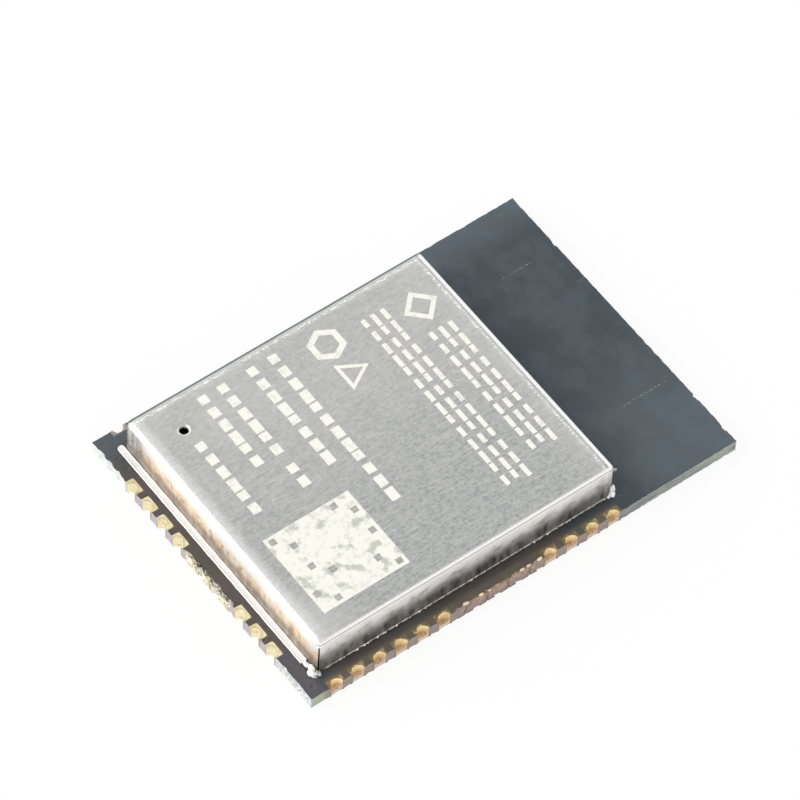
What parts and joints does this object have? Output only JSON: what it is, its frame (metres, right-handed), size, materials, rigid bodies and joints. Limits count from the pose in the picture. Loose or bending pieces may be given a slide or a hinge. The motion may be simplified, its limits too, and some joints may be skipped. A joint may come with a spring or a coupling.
{
  "type": "wifi module",
  "caption": "Thin board with half-round edge contacts, a folded antenna trace at one end and a soldered sheet-metal can over its radio circuit.",
  "frame": {"origin": "middle of the board's underside, on the surface that it is soldered to", "axes": "+Z from the underside to the can's top, +Y along the board to the antenna end, +X to the right-hand row of contacts"},
  "size_m": [0.018, 0.0254, 0.0031],
  "materials": {
    "laminate": "bare glass-fibre board, matt and slightly rough at its edges",
    "solder_mask": "satin, dark blue-grey",
    "gold_plating": "thin gold over copper, satin",
    "copper": "bare copper under the mask",
    "can_steel": "tinned sheet, fine grain on its top and brighter on its walls",
    "solder": "bright tin solder",
    "marking": "pale, matt",
    "mould_compound": "fine matt black",
    "tinned_leads": "matt tin",
    "crystal_ceramic": "matt ceramic",
    "crystal_lid": "satin nickel",
    "capacitor_ceramic": "matt tan ceramic",
    "resistor_glaze": "black glaze",
    "inductor_ceramic": "matt blue-grey ceramic"
  },
  "bodies": {
    "root": {"laminate": "laminate", "top_mask": "solder_mask", "bottom_mask": "solder_mask", "contacts_left": "gold_plating", "contacts_end": "gold_plating", "contacts_right": "gold_plating", "ground_pad": "gold_plating", "filled_vias": "copper", "antenna_trace": "copper", "shield_land": "solder", "shield_can": "can_steel", "shield_solder": "solder", "can_marking": "marking", "processor_body": "mould_compound", "processor_leads": "tinned_leads", "flash_body": "mould_compound", "flash_leads": "tinned_leads", "crystal_base": "crystal_ceramic", "crystal_lid": "crystal_lid", "crystal_pads": "gold_plating", "capacitor_bodies": "capacitor_ceramic", "capacitor_terminals": "tinned_leads", "resistor_bodies": "resistor_glaze", "resistor_terminals": "tinned_leads", "inductor_bodies": "inductor_ceramic", "inductor_terminals": "tinned_leads", "component_lands": "gold_plating"}
  },
  "joints": []
}
